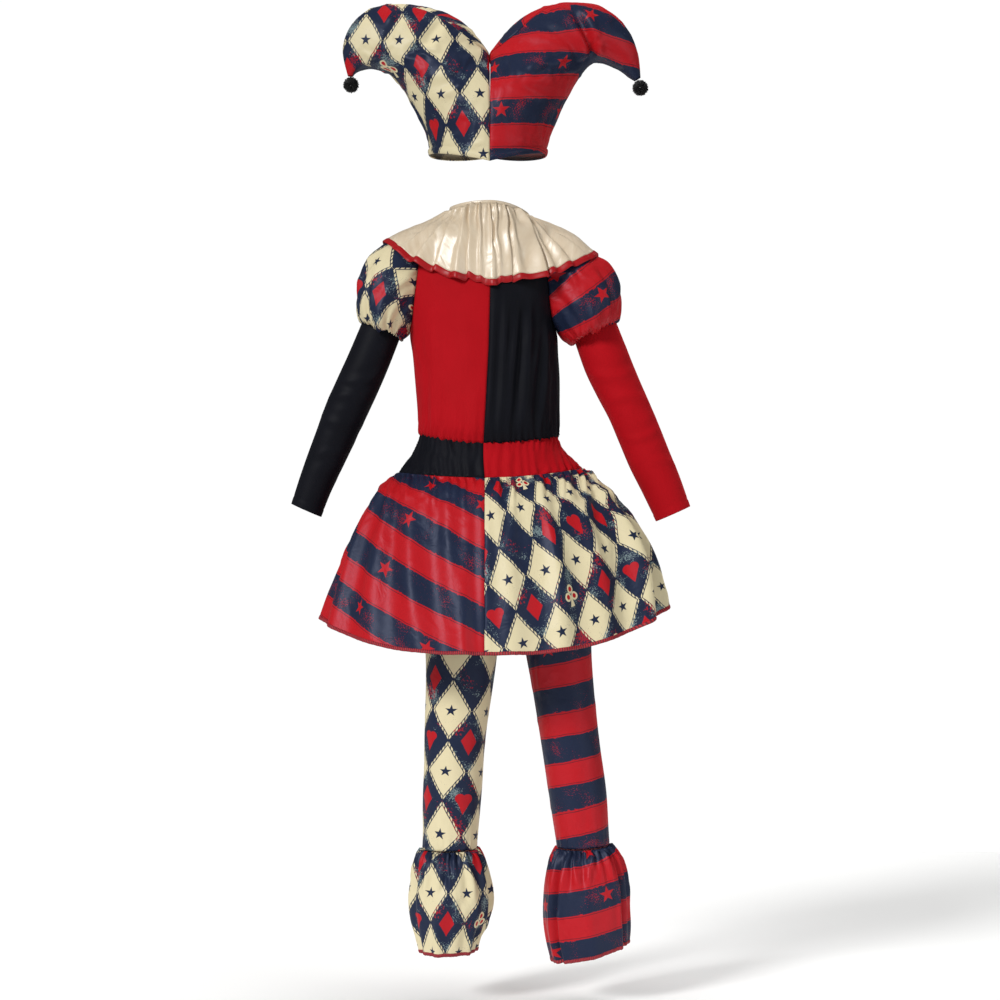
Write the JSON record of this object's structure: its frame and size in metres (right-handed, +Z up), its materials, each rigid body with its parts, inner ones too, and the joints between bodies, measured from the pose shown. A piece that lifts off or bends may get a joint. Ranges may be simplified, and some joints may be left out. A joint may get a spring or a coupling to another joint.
{
  "type": "harlequin costume",
  "caption": "Child's harlequin costume as worn: two-horned jester hat, ruffled collar, quartered bodice, puffed sleeves, gathered skirt and trousers with ankle flounces.",
  "frame": {"origin": "middle of the neck opening, between the tops of the wearer's shoulders", "axes": "+Z up, +Y the wearer's front, -X the wearer's left; the back faces -Y"},
  "size_m": [0.5803, 0.384, 1.3876],
  "materials": {
    "diamond_satin": "polyester satin printed with cream and navy diamonds",
    "striped_satin": "polyester satin printed with red and navy stripes",
    "black_wool": "acrylic wool pompom",
    "cream_satin": "polyester satin",
    "red_binding": "polyester satin binding",
    "red_jersey": "brushed polyester jersey",
    "black_jersey": "brushed polyester jersey"
  },
  "bodies": {
    "root": {"hat_back_left": "diamond_satin", "hat_back_right": "striped_satin", "hat_front_left": "diamond_satin", "hat_front_right": "striped_satin", "pompom_left": "black_wool", "pompom_right": "black_wool", "collar": "cream_satin", "collar_binding": "red_binding", "neck_binding": "cream_satin", "bodice_back_left": "red_jersey", "bodice_back_right": "black_jersey", "bodice_front_left": "red_jersey", "bodice_front_right": "black_jersey", "puff_left": "diamond_satin", "puff_right": "striped_satin", "sleeve_left": "black_jersey", "sleeve_right": "red_jersey", "yoke_back_left": "black_jersey", "yoke_back_right": "red_jersey", "yoke_front_left": "black_jersey", "yoke_front_right": "red_jersey", "skirt_back_left": "striped_satin", "skirt_back_right": "diamond_satin", "skirt_front_left": "striped_satin", "skirt_front_right": "diamond_satin", "trouser_left": "diamond_satin", "trouser_right": "striped_satin", "flounce_left": "diamond_satin", "flounce_right": "striped_satin"}
  },
  "joints": []
}
